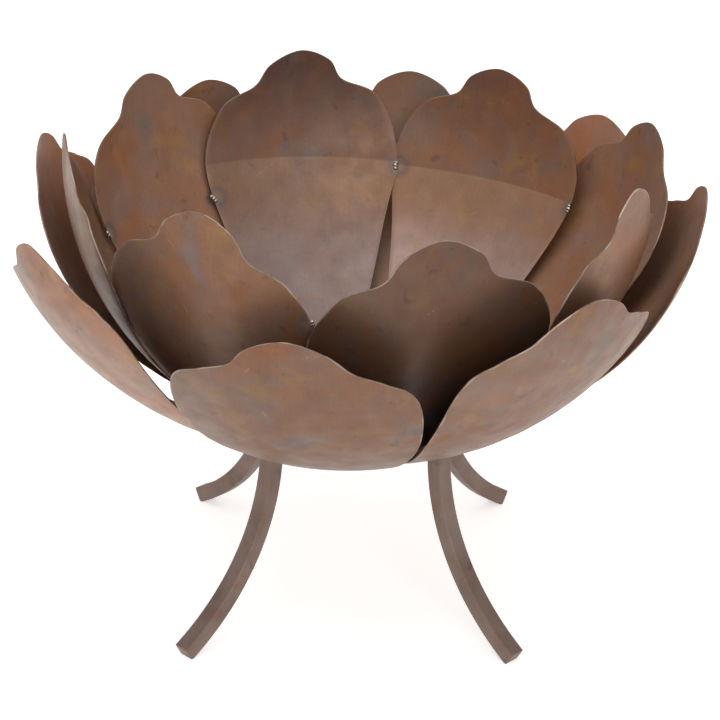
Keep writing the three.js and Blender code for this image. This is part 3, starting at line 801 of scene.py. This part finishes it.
def make_strap(corner):
    """Flat bar, sawn to length, and bent twice to follow the bowl."""
    stations = (STRAP["inner_radius"], *STRAP_BENDS, leg_top_radius(corner) + TUBE / 2 + STRAP["overhang"])
    thickness = STRAP["thickness"]
    start(bpy.ops.mesh.primitive_cube_add, size=1)
    pick("VERT", lambda spot, normal: True)
    bpy.ops.transform.resize(value=((stations[1] - stations[0]) * MM, STRAP["width"] * MM, thickness * MM))
    flat_middle = Vector(((stations[0] + stations[1]) / 2, 0, STRAP_TOP - thickness / 2)) * MM
    bpy.ops.transform.translate(value=flat_middle)
    object_mode()
    pick("FACE", lambda middle, normal: normal.x > 0.9)
    for near, far in zip(stations[1:], stations[2:]):
        outwards = Vector((far - near, 0, strap_top(far) - strap_top(near))) * MM
        bpy.ops.mesh.extrude_region_move(TRANSFORM_OT_translate={"value": outwards})
    object_mode()
    modify("BEVEL", width=0.7 * MM, segments=3, limit_method="ANGLE", angle_limit=math.radians(40))
    bpy.ops.object.shade_smooth_by_angle(angle=math.radians(30))
    place(side_turn(LEGS[corner][0]))
    piece().data.materials.append(MATERIALS["leg"])
    return name_piece(f"strap_bar_{corner}", BOWL, "leg_steel", f"strap_{corner}")


def make_leg_weld(corner):
    """A bead of weld metal round the top of a leg, where it meets its strap: the tube's outline swept
    with a round bead, roughened as hand welding leaves it."""
    slope = math.tan(math.radians(STRAP_SLOPES[1]))
    start(bpy.ops.mesh.primitive_plane_add, size=(TUBE + 1) * MM)
    pick("VERT", lambda spot, normal: True)
    bpy.ops.mesh.bevel(offset=TUBE_CORNER * MM, segments=4, affect="VERTICES")
    bpy.ops.mesh.delete(type="ONLY_FACE")
    object_mode()
    bpy.ops.object.convert(target="CURVE")
    piece().data.bevel_depth = 1.3 * MM
    piece().data.bevel_resolution = 3
    bpy.ops.object.convert(target="MESH")
    middle_radius = leg_top_radius(corner)
    for vertex in piece().data.vertices:
        ripple = 0.35 * MM * noise.noise(vertex.co * 900 + Vector((LEGS[corner][0], 0, 0)))
        vertex.co.z += vertex.co.x * slope + ripple
    under = strap_top(middle_radius) - STRAP["thickness"] - 1.2
    place(side_turn(LEGS[corner][0]) @ Matrix.Translation(Vector((middle_radius, 0, under)) * MM))
    bpy.ops.object.shade_smooth()
    piece().data.materials.clear()
    piece().data.materials.append(MATERIALS["leg"])
    return name_piece(f"leg_weld_{corner}", BOWL, "leg_steel")


def make_bolt():
    """A hexagon-head bolt, head up, along Z with the underside of its head at the origin."""
    start(bpy.ops.mesh.primitive_cylinder_add, vertices=6, radius=HEX_RADIUS * MM,
          depth=HEAD_HEIGHT * MM)
    pick("VERT", lambda spot, normal: True)
    bpy.ops.transform.translate(value=(0, 0, HEAD_HEIGHT / 2 * MM))
    object_mode()
    modify("BEVEL", width=0.6 * MM, segments=3, limit_method="ANGLE", angle_limit=math.radians(40))
    bpy.ops.object.mode_set(mode="EDIT")
    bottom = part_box("bolt_front_left")[0].z / MM - HEAD_UNDER
    bpy.ops.mesh.primitive_cylinder_add(vertices=32, radius=SHANK_RADIUS * MM, depth=-bottom * MM,
                                        location=(0, 0, bottom / 2 * MM))
    object_mode()
    for k in range(THREAD_RINGS):
        low = bottom + 0.4 + k * HALF_PITCH
        pick("VERT", lambda spot, normal: True)
        bpy.ops.mesh.bisect(plane_co=(0, 0, low * MM), plane_no=(0, 0, 1))
        object_mode()
        if k % 2 == 0:
            pick("VERT", lambda spot, normal: abs(spot.z - low * MM) < 1e-5)
            bpy.ops.transform.resize(value=(0.9, 0.9, 1))
            object_mode()
    bpy.ops.object.shade_smooth_by_angle(angle=math.radians(30))
    piece().data.materials.append(MATERIALS["zinc"])
    return piece()


def make_flange_nut():
    """A flanged hexagon nut with its flange up, top at the origin: a hexagon set into a turned flange."""
    start(bpy.ops.mesh.primitive_cylinder_add, vertices=48, radius=FLANGE_RADIUS * MM, depth=1.6 * MM)
    pick("VERT", lambda spot, normal: True)
    bpy.ops.transform.translate(value=(0, 0, -0.8 * MM))
    object_mode()
    pick("FACE", lambda middle, normal: normal.z < -0.9)
    bpy.ops.mesh.inset(thickness=1.8 * MM)
    bpy.ops.transform.translate(value=(0, 0, -0.8 * MM))
    object_mode()
    bpy.ops.object.mode_set(mode="EDIT")
    bpy.ops.mesh.primitive_cylinder_add(vertices=6, radius=HEX_RADIUS * MM, depth=7.2 * MM,
                                        location=(0, 0, -4 * MM))
    object_mode()
    modify("BEVEL", width=0.5 * MM, segments=3, limit_method="ANGLE", angle_limit=math.radians(40))
    bpy.ops.object.shade_smooth_by_angle(angle=math.radians(30))
    piece().data.materials.append(MATERIALS["zinc"])
    return piece()


# ---- Grate ------------------------------------------------------------------------------

def make_rod(name, node_name, quarter_turn):
    """A length of rod with its ends dressed round, along the CAD rod that it stands for."""
    low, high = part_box(node_name)
    size = high - low
    length = max(size)
    radius = min(size) / 2
    start(bpy.ops.mesh.primitive_cylinder_add, vertices=24, radius=radius, depth=length)
    pick("FACE", lambda middle, normal: abs(normal.z) > 0.9)
    bpy.ops.mesh.bevel(offset=radius * 0.4, segments=3, affect="EDGES")
    object_mode()
    place(Matrix.Translation((low + high) / 2) @ quarter_turn)
    bpy.ops.object.shade_smooth_by_angle(angle=math.radians(40))
    piece().data.materials.append(MATERIALS["grate"])
    return name_piece(name, GRATE, "grate_steel", node_name)


def make_grate_ring():
    """Rod rolled to a ring, with a ground butt weld at its back that stands a little proud."""
    low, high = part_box("grate_ring")
    wire = (high.z - low.z) / 2
    start(bpy.ops.mesh.primitive_torus_add, major_segments=144, minor_segments=20,
          major_radius=(high.x - low.x) / 2 - wire, minor_radius=wire)
    for vertex in piece().data.vertices:
        turn = math.atan2(vertex.co.x, vertex.co.y)
        swell = 1 + 0.05 * math.exp(-(turn / 0.035) ** 2)
        core = Vector((vertex.co.x, vertex.co.y, 0)).normalized() * ((high.x - low.x) / 2 - wire)
        vertex.co = core + (vertex.co - core) * swell
    place(Matrix.Translation((low + high) / 2))
    bpy.ops.object.shade_smooth()
    piece().data.materials.append(MATERIALS["grate"])
    return name_piece("grate_ring_rod", GRATE, "grate_steel", "grate_ring")


def make_handle(side_name):
    """Rod bent into a low arch that stands on the ring."""
    low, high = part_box(f"grate_handle_{side_name}")
    wire = (high.x - low.x) / 2
    span = (high.y - low.y) / 2 - wire
    rise = high.z - low.z - wire
    bpy.ops.object.select_all(action="DESELECT")
    bpy.ops.curve.primitive_bezier_curve_add()
    bend = piece()
    bend.data.splines[0].bezier_points.add(2)
    bend.data.resolution_u = 12
    stations = ((-span, 0, 0.0, 0.55), (-span * 0.72, rise, -0.28, 0.0), (span * 0.72, rise, 0.28, 0.0),
                (span, 0, 0.0, -0.55))
    for point, (along, up, lean_along, lean_up) in zip(bend.data.splines[0].bezier_points, stations):
        point.handle_left_type = "FREE"
        point.handle_right_type = "FREE"
        reach = Vector((0, abs(lean_along) * span, lean_up * rise))
        point.co = (0, along, up)
        point.handle_left = point.co - reach
        point.handle_right = point.co + reach
    bend.data.bevel_depth = wire
    bend.data.bevel_resolution = 6
    bend.data.use_fill_caps = True
    bpy.ops.object.convert(target="MESH")
    place(Matrix.Translation(Vector(((low.x + high.x) / 2, (low.y + high.y) / 2, low.z))))
    modify("WELD", merge_threshold=0.00001)
    bpy.ops.object.shade_smooth_by_angle(angle=math.radians(40))
    piece().data.materials.clear()
    piece().data.materials.append(MATERIALS["grate"])
    return name_piece(f"grate_handle_rod_{side_name}", GRATE, "grate_steel", f"grate_handle_{side_name}")


# ---- Assembly ---------------------------------------------------------------------------

inner = [dict(zip(PETAL_WORDS, row)) for row in INNER_PETALS]
outer = [dict(zip(PETAL_WORDS, row)) for row in OUTER_PETALS]
for i in range(len(inner)):
    WELD_PLACES.append(weld_seat(i + 1) @ Vector((HALO_SHIFT * MM, 0, 0)))

MATERIALS = {
    "petal": petal_steel(),
    "edge": cut_edge_steel(),
    "pressed": plain_rusted_steel(),
    "leg": leg_steel(),
    "grate": grate_steel(),
    "zinc": zinc_steel(),
    "weld": weld_metal(),
}

for i, petal in enumerate(inner):
    make_petal(INNER, petal, i + 1, 10 + i, CREASES.get(i + 1))
for i, petal in enumerate(outer):
    make_petal(OUTER, petal, i + 1, 30 + i)

weld_bead = make_weld_bead()
for i in range(1, len(inner)):
    copy_piece(weld_bead)
    turned = Matrix.Rotation(math.radians(180 * (i % 2) + 4 * i), 4, "Z")
    place(weld_seat(i + 1) @ turned @ Matrix.Scale(0.92 + 0.04 * (i % 4), 4))
    name_piece(f"weld_bead_{i + 1}", BOWL, "weld_metal", f"weld_{i + 1}")
weld_bead.data.transform(weld_seat(1))

make_dish(DISH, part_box("base_dish")[1].z / MM, "dish_pressing", "base_dish")
make_dish(ASH_PAN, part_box("ash_pan")[1].z / MM, "ash_pan_pressing", "ash_pan")

leg_bar = make_leg_bar()
for corner in LEGS:
    make_leg(leg_bar, corner)
    make_strap(corner)
    make_leg_weld(corner)
bpy.data.objects.remove(leg_bar)

bolt = make_bolt()
nut = make_flange_nut()
nut_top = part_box("flange_nut_front_left")[1].z
for corner, (azimuth, lean, reach) in LEGS.items():
    at_bolt = side_turn(azimuth) @ Matrix.Translation((BOLT_RADIUS * MM, 0, 0))
    copy_piece(bolt)
    place(at_bolt @ Matrix.Translation((0, 0, HEAD_UNDER * MM)))
    name_piece(f"hex_bolt_{corner}", BOWL, "zinc_steel", f"bolt_{corner}")
    copy_piece(nut)
    place(at_bolt @ Matrix.Translation((0, 0, nut_top)))
    name_piece(f"flanged_nut_{corner}", BOWL, "zinc_steel", f"flange_nut_{corner}")
bpy.data.objects.remove(bolt)
bpy.data.objects.remove(nut)

make_grate_ring()
along_y = Matrix.Rotation(math.radians(90), 4, "X")
along_x = Matrix.Rotation(math.radians(90), 4, "Y")
for i in range(1, GRATE_BARS + 1):
    make_rod(f"grate_bar_rod_{i}", f"grate_bar_{i}", along_y)
for where in ("front", "back"):
    make_rod(f"grate_cross_rod_{where}", f"grate_cross_bar_{where}", along_x)
for i in range(1, GRATE_FEET + 1):
    make_rod(f"grate_foot_rod_{i}", f"grate_foot_{i}", Matrix())
for side_name in ("left", "right"):
    make_handle(side_name)


# ---- Studio -----------------------------------------------------------------------------

def make_floor():
    start(bpy.ops.mesh.primitive_grid_add, x_subdivisions=4, y_subdivisions=4, size=40)
    floor = piece()
    floor.name = "studio_floor"
    material, tree = new_material("matt_white_paper")
    surface = node(tree, "BsdfPrincipled", {
        "Base Color": linear("#fbfbfa"), "Roughness": 0.9,
        "Emission Color": linear("#ffffff"), "Emission Strength": 0.45})
    node(tree, "OutputMaterial", {"Surface": surface.outputs[0]})
    floor.data.materials.append(material)
    floor.select_set(False)


def make_light(name, energy, size, where, towards):
    data = bpy.data.lights.new(name, "AREA")
    data.energy = energy
    data.shape = "DISK"
    data.size = size
    light = bpy.data.objects.new(name, data)
    light.location = where
    light.rotation_euler = (Vector(towards) - Vector(where)).to_track_quat("-Z", "Y").to_euler()
    bpy.context.scene.collection.objects.link(light)


def make_sky():
    world = bpy.data.worlds.new("studio")
    bpy.context.scene.world = world
    world.use_nodes = True
    world.node_tree.nodes["Background"].inputs["Color"].default_value = linear("#ffffff")
    world.node_tree.nodes["Background"].inputs["Strength"].default_value = 0.75


def make_camera():
    """A long lens, a little above the bowl and in front of it, leaning by under a degree."""
    aim = Vector((-1.4, 4, 266.6)) * MM
    distance = 2910.6 * MM
    elevation = math.radians(25.68)
    lean = math.radians(0.8)
    data = bpy.data.cameras.new("camera")
    data.lens = 136.44
    data.sensor_width = 36
    data.clip_end = 100
    camera = bpy.data.objects.new("camera", data)
    back = Vector((0, -math.cos(elevation), math.sin(elevation)))
    camera.location = aim + back * distance
    turn = (-back).to_track_quat("-Z", "Y").to_matrix().to_4x4() @ Matrix.Rotation(lean, 4, "Z")
    camera.rotation_euler = turn.to_euler()
    bpy.context.scene.collection.objects.link(camera)
    bpy.context.scene.camera = camera


make_floor()
make_sky()
make_light("softbox_above", 20, 2.4, (-0.4, -0.6, 2.6), (0, 0, 0.3))
make_light("softbox_front", 30, 2.0, (0.8, -3.2, 1.6), (0, 0, 0.3))
make_camera()
bpy.context.scene.view_settings.view_transform = "Standard"
